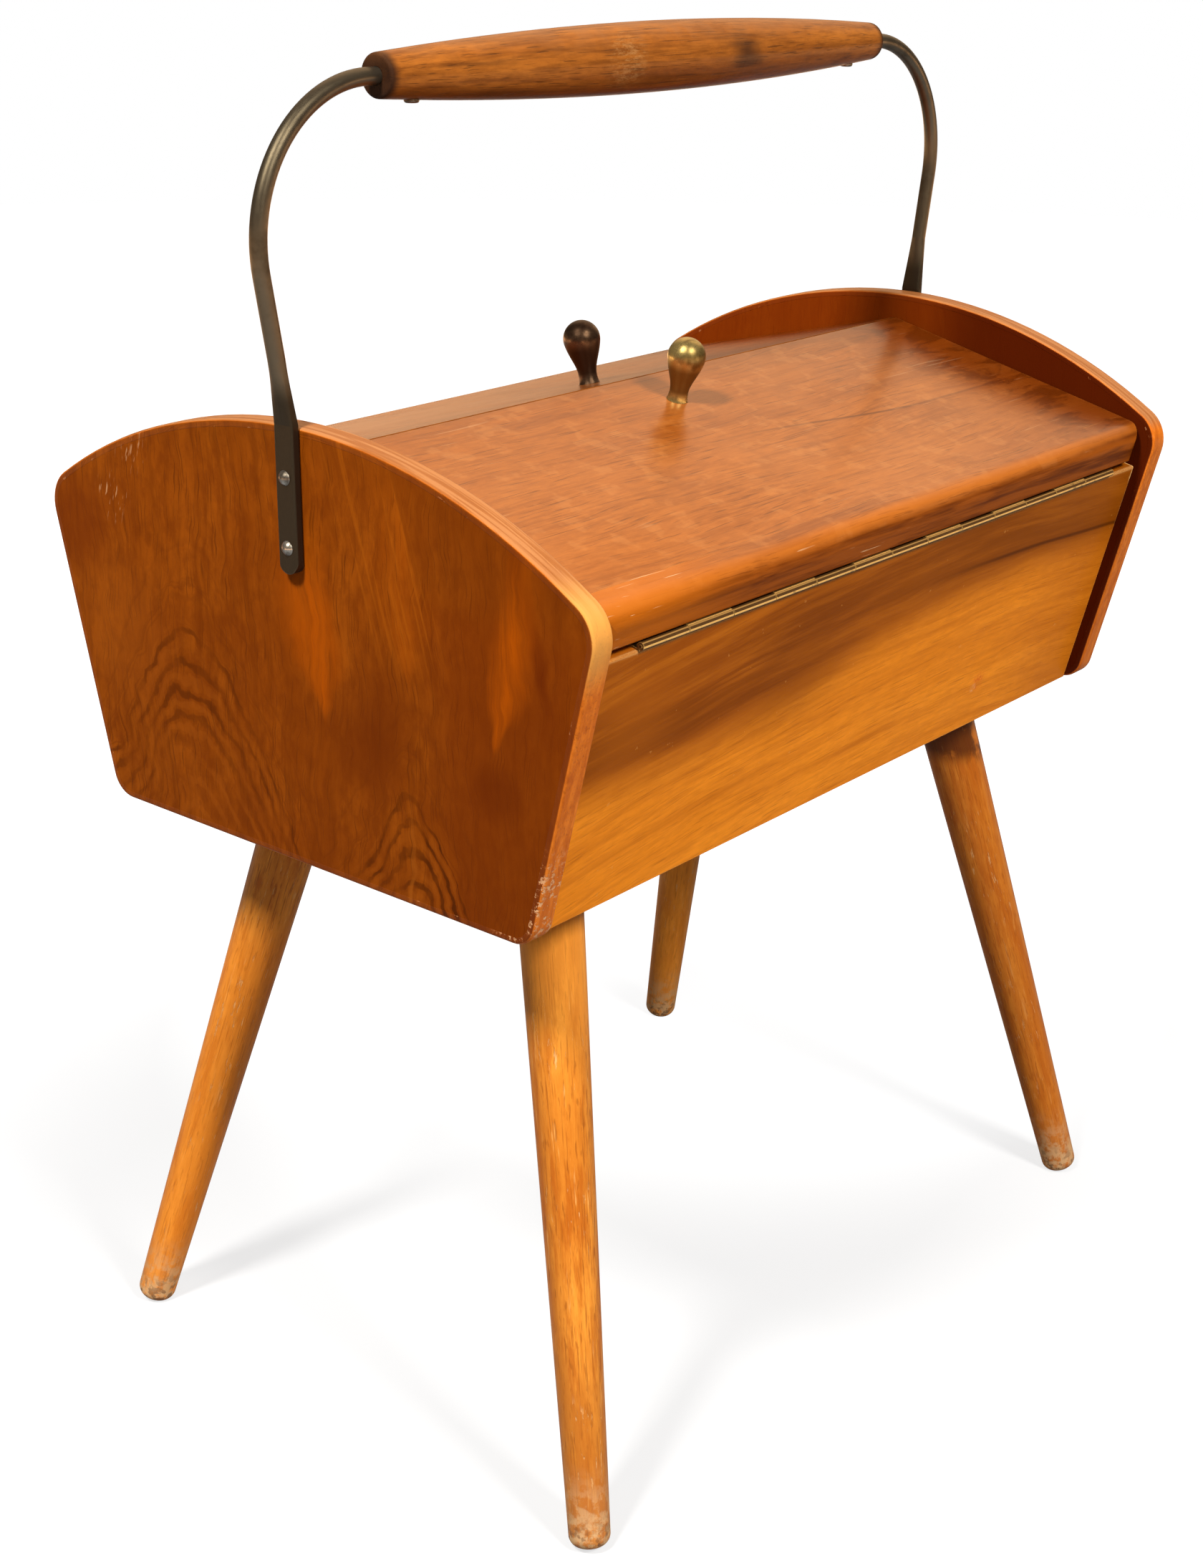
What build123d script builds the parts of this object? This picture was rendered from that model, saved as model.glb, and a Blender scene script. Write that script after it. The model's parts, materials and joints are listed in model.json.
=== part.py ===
"""Sewing carrier: a leaning box with domed end panels, two lids, four splayed legs and a handle.

The frame: origin on the floor under the middle of the box, X along the lids' ridge,
-Y towards the front lid and +Z up. All sizes are in millimetres.
"""

from build123d import *
from math import atan2, cos, hypot, radians, sin, sqrt, tan
import os

# ---------------------------------------------------------------- driving dimensions
# Box
overall_length = 415.0         # over the outer faces of the two end panels
end_thickness = 11.0           # end panels, with their lipping
lean = 13.5                    # degrees: lean of the long panels and slope of the lids
underside_height = 267.0       # floor to the underside of the box
box_height = 174.5             # underside to the top of an end panel's dome
bottom_half_depth = 116.0      # half the width of an end panel's bottom, to its virtual corner
dome_radius = 256.0
top_corner_radius = 16.0
bottom_corner_radius = 11.0
lipping_thickness = 3.0        # solid wood strip bent round an end panel
arris_radius = 1.4             # softened edges of the lipping
panel_thickness = 10.0         # front, rear and bottom panels
panel_recess = 6.6             # the end panels stand proud of the long panels by this much
panel_arris = 0.8

# Lids
ridge_drop = 11.5              # from the dome's top down to where the lids' top faces would meet
lid_thickness = 16.2
lid_end_gap = 1.2              # between a lid's end and the end panel
ridge_gap = 1.2                # between the two lids
nose_width = 14.0              # solid rail along a lid's outer edge
nose_radius = 9.0              # rounded upper edge of the rail
nose_corner_radius = 8.0       # rounded ends of the rail, seen square to the lid
lid_arris = 0.8
rest_width = 10.0              # strip on the end panel that a closed lid rests on
rest_depth = 14.0
rest_clearance = 0.3

# Piano hinges
seam_gap = 3.8                 # between a lid's underside and the panel's top edge
hinge_standoff = 0.4           # pin axis outside the faces that it joins
hinge_end_gap = 23.0           # from a lid's end to the hinge's end
knuckle_count = 13             # odd, so that the fixed leaf has both end knuckles
knuckle_radius = 1.6
knuckle_gap = 0.3
hinge_pin_radius = 0.8
leaf_thickness = 0.8
leaf_setback = 1.0             # from the leaf's inner edge to the panel's inner face
leaf_clearance = 0.3           # between a leaf and the other leaf's knuckles

# Knobs
knob_x = -10.0
knob_setback = 25.0            # from the ridge, along the slope
knob_height = 27.5
knob_ball_radius = 8.1
knob_base_radius = 4.7
knob_waist_radius = 4.05
knob_waist_height = 3.2
knob_join_angle = 12.0         # degrees below the ball's equator where the tapered body joins it

# Legs
leg_inset_x = 52.5             # from an end panel's inner face to a leg's centre at the underside
leg_inset_y = 47.0             # from the end panel's bottom corner, across the box
leg_spread_x = 49.0            # from a leg's centre at the underside out to its centre at the floor
leg_spread_y = 66.5
leg_top_radius = 13.7
foot_radius = 8.6
foot_rounding = 5.0
foot_wear = 0.8                # ground off the rounded foot where it stands on the floor
leg_block_length = 56.0
leg_block_depth = 46.0
leg_block_height = 28.0
leg_bolt_radius = 4.0
leg_bolt_in_leg = 36.0
leg_bolt_above_underside = 30.0

# Handle
rod_radius = 3.25
rod_splay = 10.0               # degrees from upright
rod_bend_radius = 55.0
grip_rise = 119.5              # from the dome's top up to the grip's axis
grip_length = 319.0
grip_middle_radius = 14.0
grip_end_radius = 8.1
grip_end_rounding = 1.2
rod_in_grip = 36.0
strap_width = 9.8              # flattened lower end of a rod
strap_thickness = 4.0
strap_drop = 55.0              # from the dome's top down to the strap's lower end
strap_rise = 1.0               # flat part above the dome's top
strap_twist_height = 24.0      # length over which the flat turns into the round rod
strap_rounding = 1.0

# Fasteners and dowels
fit = 0.05                     # radial clearance of a screw, bolt, pin or dowel in its hole
hole_end_gap = 0.5             # left beyond the end of a screw, bolt or dowel
hinge_screw_radius = 1.2
hinge_screw_head_radius = 2.0
hinge_screw_length = 11.0
hinge_screw_pitch = 58.0
strap_screw_radius = 1.7
strap_screw_head_radius = 2.9
strap_screw_head_height = 1.8
strap_screw_in_panel = 8.0
strap_screw_first = 10.0       # from the strap's lower end to the lower screw
strap_screw_spacing = 26.5
grip_screw_radius = 1.4
grip_screw_head_radius = 2.9
grip_screw_head_height = 1.8
grip_screw_seat_depth = 0.8
grip_screw_from_end = 18.0
grip_screw_past_rod = 2.5
knob_screw_radius = 2.0
knob_screw_head_radius = 3.8
knob_screw_head_height = 2.4
knob_screw_in_knob = 11.0
dowel_radius = 2.5
dowel_in_end = 8.5
dowel_in_panel = 14.0
panel_dowel_count = 3
panel_dowel_margin = 20.0      # from a long panel's top and bottom edges to its outer dowels
bottom_dowel_y = 40.0

# ---------------------------------------------------------------- derived sizes
slope = radians(lean)
dome_height = underside_height + box_height
ridge_height = dome_height - ridge_drop
grip_height = dome_height + grip_rise
half_length = overall_length / 2
inner_half_length = half_length - end_thickness
lid_half_length = inner_half_length - lid_end_gap
hinge_half_length = lid_half_length - hinge_end_gap
half_seam = seam_gap / 2
bottom_panel_top = underside_height + panel_thickness
face_out = -hinge_standoff                       # outer faces of a long panel and of a lid's nose
inner_face_out = face_out - panel_thickness
lid_top_up = half_seam + lid_thickness
sides = {"front": -1, "rear": 1}
ends = {"left": -1, "right": 1}

# The pin axis lies outside the long panel's face by the standoff, and midway in the seam. "Out" runs
# down a lid's slope and "up" runs square to it, which is also up the long panel's face.
axis_out = (bottom_half_depth * cos(slope) - underside_height * sin(slope)
            - panel_recess + hinge_standoff)
axis_up = ridge_height * cos(slope) - lid_top_up
axis_depth = axis_out * cos(slope) + axis_up * sin(slope)
axis_height = axis_up * cos(slope) - axis_out * sin(slope)


def seam_point(side, out, up):
    """(y, z) of a point given from a side's pin axis: out along the lid's slope, up square to it."""
    depth = axis_depth + out * cos(slope) + up * sin(slope)
    return side * depth, axis_height - out * sin(slope) + up * cos(slope)


def out_at_depth(depth, up):
    """How far out from the pin axis a line parallel to the lid reaches a given depth."""
    return (depth - axis_depth - up * sin(slope)) / cos(slope)


def up_at_height(height, out):
    """How far up from the pin axis a line along the long panel reaches a given height."""
    return (height - axis_height + out * sin(slope)) / cos(slope)


def square_to_lid(side, x, out, up):
    """Plane through a point of the seam frame, with its normal square to the lid."""
    y, z = seam_point(side, out, up)
    return Plane(origin=(x, y, z), x_dir=(1, 0, 0), z_dir=(0, side * sin(slope), cos(slope)))


def spread(count, reach):
    """Evenly spaced positions from -reach to reach."""
    return [reach * (2 * i / (count - 1) - 1) for i in range(count)]


os.makedirs("parts", exist_ok=True)


def save(part, name):
    """Label a finished piece and write it as a STEP file named after its node."""
    part.label = name
    export_step(part, f"parts/{name}.step")


# ---------------------------------------------------------------- dowels and screws
panel_up_top = -half_seam - panel_dowel_margin
panel_up_bottom = up_at_height(underside_height, inner_face_out) + panel_dowel_margin
panel_dowel_step = (panel_up_top - panel_up_bottom) / (panel_dowel_count - 1)
long_panel_dowels = {
    side: [seam_point(side, face_out - panel_thickness / 2, panel_up_top - i * panel_dowel_step)
           for i in range(panel_dowel_count)]
    for side in sides.values()
}
bottom_dowel_height = (underside_height + lipping_thickness + bottom_panel_top) / 2
bottom_dowels = [(y, bottom_dowel_height) for y in (-bottom_dowel_y, bottom_dowel_y)]
all_dowels = long_panel_dowels[-1] + long_panel_dowels[1] + bottom_dowels

hinge_screw_count = 1 + int(2 * (hinge_half_length - hinge_screw_head_radius) // hinge_screw_pitch)
hinge_screw_xs = spread(hinge_screw_count, hinge_screw_pitch * (hinge_screw_count - 1) / 2)
hinge_screw_out = face_out - panel_thickness / 2
strap_bottom = dome_height - strap_drop
strap_screw_points = [(0, strap_bottom + strap_screw_first + i * strap_screw_spacing) for i in range(2)]


def circles_on_x(x, points, radius):
    """Sketch circles in a plane square to X, at (y, z) points."""
    with BuildSketch(Plane.YZ.offset(x)) as circles:
        with Locations(*points):
            Circle(radius)
    return circles.sketch


def dowel_holes(points, end):
    """Sketch dowel holes on an end panel's inner face."""
    return circles_on_x(end * inner_half_length, points, dowel_radius + fit)


# ---------------------------------------------------------------- end panels
def panel_outline(inset):
    """Sketch an end panel's outline in the YZ plane, shrunk by an inset."""
    rise = dome_height - underside_height
    top_half_depth = bottom_half_depth + rise * tan(slope)
    with BuildSketch(Plane.XY) as outline:
        Polygon((-bottom_half_depth, underside_height), (bottom_half_depth, underside_height),
                (top_half_depth, dome_height), (-top_half_depth, dome_height), align=None)
        with Locations((0, dome_height - dome_radius)):
            Circle(dome_radius, mode=Mode.INTERSECT)
        fillet(outline.vertices().group_by(Axis.Y)[0], bottom_corner_radius)
        fillet(outline.vertices().group_by(Axis.Y)[-1], top_corner_radius)
        if inset:
            offset(amount=-inset, mode=Mode.REPLACE)
    return outline.sketch


board_outline = panel_outline(lipping_thickness)
full_outline = panel_outline(0)

for name, end in ends.items():
    with BuildPart() as board:
        with BuildSketch(Plane.YZ.offset(end * inner_half_length)):
            add(board_outline)
        extrude(amount=end * end_thickness)
        extrude(dowel_holes(all_dowels, end), amount=end * (dowel_in_end + hole_end_gap),
                mode=Mode.SUBTRACT)
        extrude(circles_on_x(end * half_length, strap_screw_points, strap_screw_radius + fit),
                amount=-end * (strap_screw_in_panel + hole_end_gap), mode=Mode.SUBTRACT)
    save(board.part, f"end_panel_{name}")

    with BuildPart() as lipping:
        with BuildSketch(Plane.YZ.offset(end * inner_half_length)):
            add(full_outline)
            add(board_outline, mode=Mode.SUBTRACT)
        extrude(amount=end * end_thickness)
        for face in (lipping.faces().sort_by(Axis.X)[0], lipping.faces().sort_by(Axis.X)[-1]):
            fillet(face.outer_wire().edges(), arris_radius)
    save(lipping.part, f"lipping_{name}")

# ---------------------------------------------------------------- long panels and bottom
for name, side in sides.items():
    bottom_ups = {out: up_at_height(underside_height, out) for out in (face_out, inner_face_out)}
    with BuildPart() as panel:
        with BuildSketch(Plane.YZ.offset(-inner_half_length)):
            with BuildLine():
                Polyline(seam_point(side, face_out, -half_seam),
                         seam_point(side, inner_face_out, -half_seam),
                         seam_point(side, inner_face_out, bottom_ups[inner_face_out]),
                         seam_point(side, face_out, bottom_ups[face_out]), close=True)
            make_face()
        extrude(amount=2 * inner_half_length)
        outer_edges = panel.edges().filter_by(Axis.X).sort_by(Axis.Y)
        outer_top = outer_edges[0] if side < 0 else outer_edges[-1]
        fillet(outer_top, panel_arris)
        for end in ends.values():
            extrude(dowel_holes(long_panel_dowels[side], end),
                    amount=-end * (dowel_in_panel + hole_end_gap), mode=Mode.SUBTRACT)
        with Locations(*[square_to_lid(side, x, hinge_screw_out, -half_seam) for x in hinge_screw_xs]):
            Hole(hinge_screw_radius + fit, depth=hinge_screw_length + hole_end_gap)
    save(panel.part, f"{name}_panel")

leg_top_x = inner_half_length - leg_inset_x
leg_top_y = bottom_half_depth - leg_inset_y
leg_lean = atan2(hypot(leg_spread_x, leg_spread_y), underside_height)
corners = {f"{side_name}_{end_name}": (end, side)
           for side_name, side in sides.items() for end_name, end in ends.items()}


def leg_plane(end, side, along):
    """Plane square to a corner's leg, a distance above the box's underside along the leg."""
    axis = Vector(-end * leg_spread_x, -side * leg_spread_y, underside_height).normalized()
    origin = Vector(end * leg_top_x, side * leg_top_y, underside_height) + axis * along
    return Plane(origin=origin, z_dir=axis)


with BuildPart() as bottom:
    with BuildSketch(Plane.YZ.offset(-inner_half_length)):
        lower = seam_point(1, inner_face_out, up_at_height(underside_height, inner_face_out))
        upper = seam_point(1, inner_face_out, up_at_height(bottom_panel_top, inner_face_out))
        with BuildLine():
            Polyline((-lower[0], lower[1]), lower, upper, (-upper[0], upper[1]), close=True)
        make_face()
    extrude(amount=2 * inner_half_length)
    for end in ends.values():
        extrude(dowel_holes(bottom_dowels, end), amount=-end * (dowel_in_panel + hole_end_gap),
                mode=Mode.SUBTRACT)
    for end, side in corners.values():
        with Locations(leg_plane(end, side, 0)):
            Cylinder(leg_bolt_radius + fit, 4 * panel_thickness, mode=Mode.SUBTRACT)
save(bottom.part, "bottom_panel")

with BuildPart() as dowels:
    for end in ends.values():
        extrude(circles_on_x(end * (inner_half_length - dowel_in_panel), all_dowels, dowel_radius),
                amount=end * (dowel_in_panel + dowel_in_end))
save(dowels.part, "panel_dowels")

# ---------------------------------------------------------------- legs
foot_end_height = ((foot_radius - foot_rounding) * sin(leg_lean)
                   + foot_rounding * (1 - cos(leg_lean)) - foot_wear)
leg_length = (underside_height - foot_end_height) / cos(leg_lean)
leg_overshoot = 2 * leg_top_radius * tan(leg_lean)

for name, (end, side) in corners.items():
    foot_plane = leg_plane(end, side, -leg_length)
    profile_plane = Plane(origin=foot_plane.origin, x_dir=foot_plane.x_dir, z_dir=-foot_plane.y_dir)
    taper = (leg_top_radius - foot_radius) / (leg_length - foot_rounding)
    with BuildPart() as leg:
        with BuildSketch(profile_plane):
            with BuildLine():
                axis_line = Line((0, leg_length + leg_overshoot), (0, 0))
                sole = Line(axis_line @ 1, (foot_radius - foot_rounding, 0))
                toe = ThreePointArc(sole @ 1,
                                    (foot_radius - foot_rounding * (1 - sin(radians(45))),
                                     foot_rounding * (1 - cos(radians(45)))),
                                    (foot_radius, foot_rounding))
                flank = Line(toe @ 1, (leg_top_radius + taper * leg_overshoot, leg_length + leg_overshoot))
                Line(flank @ 1, axis_line @ 0)
            make_face()
        revolve(axis=Axis(foot_plane.origin, foot_plane.z_dir))
        split(bisect_by=Plane.XY.offset(underside_height), keep=Keep.BOTTOM)
        split(bisect_by=Plane.XY, keep=Keep.TOP)
        with BuildSketch(leg_plane(end, side, -leg_bolt_in_leg - hole_end_gap)):
            Circle(leg_bolt_radius + fit)
        extrude(amount=2 * leg_bolt_in_leg, mode=Mode.SUBTRACT)
    save(leg.part, f"leg_{name}")

    with BuildPart() as block:
        with BuildSketch(Plane.XY.offset(bottom_panel_top)):
            with Locations((end * leg_top_x, side * leg_top_y)):
                Rectangle(leg_block_length, leg_block_depth)
        extrude(amount=leg_block_height)
        top_edges = block.faces().sort_by(Axis.Z)[-1].edges()
        chamfer(top_edges, panel_arris)
        with BuildSketch(leg_plane(end, side, 0)):
            Circle(leg_bolt_radius + fit)
        extrude(amount=leg_bolt_above_underside + hole_end_gap, mode=Mode.SUBTRACT)
    save(block.part, f"leg_block_{name}")

with BuildPart() as bolts:
    for end, side in corners.values():
        with BuildSketch(leg_plane(end, side, -leg_bolt_in_leg)):
            Circle(leg_bolt_radius)
        extrude(amount=leg_bolt_in_leg + leg_bolt_above_underside)
save(bolts.part, "leg_bolts")

# ---------------------------------------------------------------- lid rests
rest_up = half_seam - rest_clearance
for side_name, side in sides.items():
    for end_name, end in ends.items():
        rest_outs = (out_at_depth(ridge_gap / 2, rest_up), out_at_depth(ridge_gap / 2, rest_up - rest_depth))
        with BuildPart() as rest:
            with BuildSketch(Plane.YZ.offset(end * inner_half_length)):
                with BuildLine():
                    Polyline(seam_point(side, inner_face_out - leaf_setback, rest_up),
                             seam_point(side, rest_outs[0], rest_up),
                             seam_point(side, rest_outs[1], rest_up - rest_depth),
                             seam_point(side, inner_face_out - leaf_setback, rest_up - rest_depth),
                             close=True)
                make_face()
            extrude(amount=-end * rest_width)
        save(rest.part, f"lid_rest_{side_name}_{end_name}")

# ---------------------------------------------------------------- lids, knobs and piano hinges
knob_out = out_at_depth(0, lid_top_up) + knob_setback
ball_height = knob_height - knob_ball_radius
join = radians(knob_join_angle)
knuckle_pitch = 2 * hinge_half_length / knuckle_count
leaf_inner_out = inner_face_out + leaf_setback
notch_out = -(knuckle_radius + leaf_clearance)


def lid_section(side, outer, inner):
    """Sketch a lid's section at its left end, from outer to inner (out at the underside, out on top)."""
    with BuildSketch(Plane.YZ.offset(-lid_half_length)) as section:
        with BuildLine():
            Polyline(seam_point(side, outer[0], half_seam), seam_point(side, outer[1], lid_top_up),
                     seam_point(side, inner[1], lid_top_up), seam_point(side, inner[0], half_seam),
                     close=True)
        make_face()
    return section.sketch


def hinge_leaf(side, up_sign, knuckle_numbers):
    """Build a leaf with its own knuckles; up_sign is -1 on the panel's edge, +1 under the lid."""
    others = [i for i in range(knuckle_count) if i not in knuckle_numbers]
    knuckle_xs = {i: (i + 0.5) * knuckle_pitch - hinge_half_length for i in range(knuckle_count)}
    leaf_middle = up_sign * (half_seam - leaf_thickness / 2)
    with BuildPart() as leaf:
        with BuildSketch(Plane.YZ.offset(-hinge_half_length)):
            with BuildLine():
                Polyline(seam_point(side, leaf_inner_out, up_sign * half_seam),
                         seam_point(side, 0, up_sign * half_seam),
                         seam_point(side, 0, up_sign * (half_seam - leaf_thickness)),
                         seam_point(side, leaf_inner_out, up_sign * (half_seam - leaf_thickness)),
                         close=True)
            make_face()
        extrude(amount=2 * hinge_half_length)
        for i in others:
            with Locations(square_to_lid(side, knuckle_xs[i], notch_out / 2, leaf_middle)):
                Box(knuckle_pitch + knuckle_gap, -notch_out, 2 * leaf_thickness, mode=Mode.SUBTRACT)
        for i in knuckle_numbers:
            with BuildSketch(Plane.YZ.offset(knuckle_xs[i] - (knuckle_pitch - knuckle_gap) / 2)):
                with Locations(seam_point(side, 0, 0)):
                    Circle(knuckle_radius)
            extrude(amount=knuckle_pitch - knuckle_gap)
        with BuildSketch(Plane.YZ.offset(-hinge_half_length)):
            with Locations(seam_point(side, 0, 0)):
                Circle(hinge_pin_radius + fit)
        extrude(amount=2 * hinge_half_length, mode=Mode.SUBTRACT)
        with Locations(*[square_to_lid(side, x, hinge_screw_out, up_sign * (half_seam - leaf_thickness))
                         for x in hinge_screw_xs]):
            Cone(hinge_screw_radius + fit, hinge_screw_head_radius + fit, leaf_thickness,
                 rotation=(0, 0, 0) if up_sign < 0 else (180, 0, 0),
                 align=(Align.CENTER, Align.CENTER, Align.MAX), mode=Mode.SUBTRACT)
    return leaf.part


def hinge_screws(side, up_sign):
    """A row of countersunk screws, their heads flush with a leaf."""
    with BuildPart() as screws:
        for x in hinge_screw_xs:
            head_plane = square_to_lid(side, x, hinge_screw_out, up_sign * (half_seam - leaf_thickness))
            shank_plane = square_to_lid(side, x, hinge_screw_out, up_sign * half_seam)
            with BuildSketch(head_plane):
                Circle(hinge_screw_head_radius)
            with BuildSketch(shank_plane):
                Circle(hinge_screw_radius)
            loft()
            with BuildSketch(shank_plane):
                Circle(hinge_screw_radius)
            extrude(amount=up_sign * hinge_screw_length)
    return screws.part


for name, side in sides.items():
    nose_outs = (face_out, face_out)
    joint_outs = (face_out - nose_width, face_out - nose_width)
    ridge_outs = (out_at_depth(ridge_gap / 2, half_seam), out_at_depth(ridge_gap / 2, lid_top_up))
    knob_plane = square_to_lid(side, knob_x, knob_out, lid_top_up)

    with BuildPart() as lid_board:
        extrude(lid_section(side, joint_outs, ridge_outs), amount=2 * lid_half_length)
        with Locations(knob_plane):
            Hole(knob_screw_radius + fit, depth=2 * lid_thickness)
    save(lid_board.part, f"{name}_lid_board")

    with BuildPart() as nose:
        extrude(lid_section(side, nose_outs, joint_outs), amount=2 * lid_half_length)
        long_edges = nose.edges().filter_by(Axis.X)
        outer = long_edges.sort_by(Axis.Y)[:2] if side < 0 else long_edges.sort_by(Axis.Y)[-2:]
        lower_outer, upper_outer = outer.sort_by(Axis.Z)
        fillet(upper_outer, nose_radius)
        fillet(lower_outer, lid_arris)
        with BuildSketch(square_to_lid(side, 0, joint_outs[0], half_seam)):
            with Locations((0, side * nose_width / 2)):
                plan = Rectangle(2 * lid_half_length, nose_width)
            fillet(plan.vertices().sort_by(Axis.Y)[2:] if side > 0 else plan.vertices().sort_by(Axis.Y)[:2],
                   nose_corner_radius)
        extrude(amount=lid_thickness, mode=Mode.INTERSECT)
        with Locations(*[square_to_lid(side, x, hinge_screw_out, half_seam) for x in hinge_screw_xs]):
            Cylinder(hinge_screw_radius + fit, hinge_screw_length + hole_end_gap,
                     align=(Align.CENTER, Align.CENTER, Align.MIN), mode=Mode.SUBTRACT)
    save(nose.part, f"{name}_lid_nose")

    with BuildPart() as knob:
        with BuildSketch(Plane(origin=knob_plane.origin, x_dir=(1, 0, 0),
                               z_dir=(0, -cos(slope), side * sin(slope)))):
            with BuildLine():
                base = Line((0, 0), (knob_base_radius, 0))
                ball = CenterArc((0, ball_height), knob_ball_radius, -knob_join_angle,
                                 90 + knob_join_angle)
                waist = (knob_waist_radius, knob_waist_height)
                flare = (knob_waist_radius - knob_base_radius, knob_waist_height / 2)
                Spline(base @ 1, waist, ball @ 0, tangents=(flare, (sin(join), cos(join))))
                Line(ball @ 1, base @ 0)
            make_face()
        revolve(axis=Axis(knob_plane.origin, knob_plane.z_dir))
        with Locations(knob_plane):
            Cylinder(knob_screw_radius + fit, knob_screw_in_knob + hole_end_gap,
                     align=(Align.CENTER, Align.CENTER, Align.MIN), mode=Mode.SUBTRACT)
    save(knob.part, f"{name}_knob")

    with BuildPart() as knob_screw:
        with BuildSketch(square_to_lid(side, knob_x, knob_out, half_seam)):
            Circle(knob_screw_radius)
        extrude(amount=lid_thickness + knob_screw_in_knob)
        with BuildSketch(square_to_lid(side, knob_x, knob_out, half_seam)):
            Circle(knob_screw_head_radius)
        extrude(amount=-knob_screw_head_height)
        rim = knob_screw.faces().sort_by(Axis.Z)[0].edges()
        fillet(rim, knob_screw_head_height / 2)
    save(knob_screw.part, f"{name}_knob_screw")

    fixed_knuckles = list(range(0, knuckle_count, 2))
    moving_knuckles = list(range(1, knuckle_count, 2))
    save(hinge_leaf(side, -1, fixed_knuckles), f"{name}_hinge_fixed_leaf")
    save(hinge_leaf(side, 1, moving_knuckles), f"{name}_hinge_moving_leaf")
    save(hinge_screws(side, -1), f"{name}_hinge_panel_screws")
    save(hinge_screws(side, 1), f"{name}_hinge_lid_screws")

    with BuildPart() as hinge_pin:
        with BuildSketch(Plane.YZ.offset(-hinge_half_length)):
            with Locations(seam_point(side, 0, 0)):
                Circle(hinge_pin_radius)
        extrude(amount=2 * hinge_half_length)
    save(hinge_pin.part, f"{name}_hinge_pin")

# ---------------------------------------------------------------- handle
splay = radians(rod_splay)
strap_top = dome_height + strap_rise
rod_start_height = strap_top + strap_twist_height
rod_start_x = half_length + rod_radius + strap_twist_height * tan(splay) / 2
bend_height = grip_height - rod_bend_radius * (1 + sin(splay))
bend_x = rod_start_x + (bend_height - rod_start_height) * tan(splay)
grip_half_length = grip_length / 2
grip_arc_radius = ((grip_half_length**2 + (grip_middle_radius - grip_end_radius)**2)
                   / (2 * (grip_middle_radius - grip_end_radius)))
grip_screw_x = grip_half_length - grip_screw_from_end
grip_radius_at_screw = (grip_middle_radius - grip_arc_radius
                        + sqrt(grip_arc_radius**2 - grip_screw_x**2))
grip_screw_seat = grip_height - grip_radius_at_screw + grip_screw_seat_depth


def strap_section():
    """Sketch the flattened rod's cross-section at the strap's top."""
    with BuildSketch(Plane.XY.offset(strap_top)) as section:
        with Locations((half_length + strap_thickness / 2, 0)):
            RectangleRounded(strap_thickness, strap_width, strap_rounding)
    return section.sketch


with BuildPart() as rod:
    extrude(strap_section(), amount=strap_bottom - strap_top)
    with BuildSketch(Plane.YZ.offset(half_length)):
        with Locations((0, strap_bottom + strap_width / 2)):
            Circle(strap_width / 2)
        with Locations((0, (strap_bottom + strap_width / 2 + strap_top) / 2)):
            Rectangle(strap_width, strap_top - strap_bottom - strap_width / 2)
    extrude(amount=strap_thickness, mode=Mode.INTERSECT)
    add(strap_section())
    rod_start = Plane(origin=(rod_start_x, 0, rod_start_height), x_dir=(cos(splay), 0, -sin(splay)),
                      z_dir=(sin(splay), 0, cos(splay)))
    with BuildSketch(rod_start):
        Circle(rod_radius)
    loft()
    with BuildLine(Plane.XZ) as rod_path:
        rise = Line((rod_start_x, rod_start_height), (bend_x, bend_height))
        bend = JernArc(rise @ 1, rise % 1, rod_bend_radius, 90 + rod_splay)
        Line(bend @ 1, (grip_half_length - rod_in_grip, grip_height))
    with BuildSketch(rod_start):
        Circle(rod_radius)
    sweep(path=rod_path.wire())
    extrude(circles_on_x(half_length, strap_screw_points, strap_screw_radius + fit),
            amount=strap_thickness, mode=Mode.SUBTRACT)
    with Locations((grip_screw_x, 0, grip_height)):
        Cylinder(grip_screw_radius + fit, 4 * rod_radius, mode=Mode.SUBTRACT)
save(rod.part, "handle_rod_right")
save(mirror(rod.part, about=Plane.YZ), "handle_rod_left")

with BuildPart() as grip:
    with BuildSketch(Plane.XZ.offset(0)):
        with BuildLine():
            Polyline((-grip_half_length, grip_height + grip_end_radius), (-grip_half_length, grip_height),
                     (grip_half_length, grip_height), (grip_half_length, grip_height + grip_end_radius))
            ThreePointArc((-grip_half_length, grip_height + grip_end_radius),
                          (0, grip_height + grip_middle_radius),
                          (grip_half_length, grip_height + grip_end_radius))
        make_face()
    revolve(axis=Axis((0, 0, grip_height), (1, 0, 0)))
    rims = [grip.faces().sort_by(Axis.X)[i].edges() for i in (0, -1)]
    fillet(rims[0] + rims[1], grip_end_rounding)
    for end in ends.values():
        with BuildSketch(Plane.YZ.offset(end * grip_half_length)):
            with Locations((0, grip_height)):
                Circle(rod_radius + fit)
        extrude(amount=-end * (rod_in_grip + hole_end_gap), mode=Mode.SUBTRACT)
    screw_spots = [(end * grip_screw_x, 0) for end in ends.values()]
    with BuildSketch(Plane.XY.offset(grip_screw_seat)):
        with Locations(*screw_spots):
            Circle(grip_screw_head_radius + fit)
    extrude(amount=-grip_middle_radius, mode=Mode.SUBTRACT)
    with BuildSketch(Plane.XY.offset(grip_screw_seat)):
        with Locations(*screw_spots):
            Circle(grip_screw_radius + fit)
    extrude(amount=grip_height + rod_radius + grip_screw_past_rod + hole_end_gap
            - grip_screw_seat, mode=Mode.SUBTRACT)
save(grip.part, "handle_grip")

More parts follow.
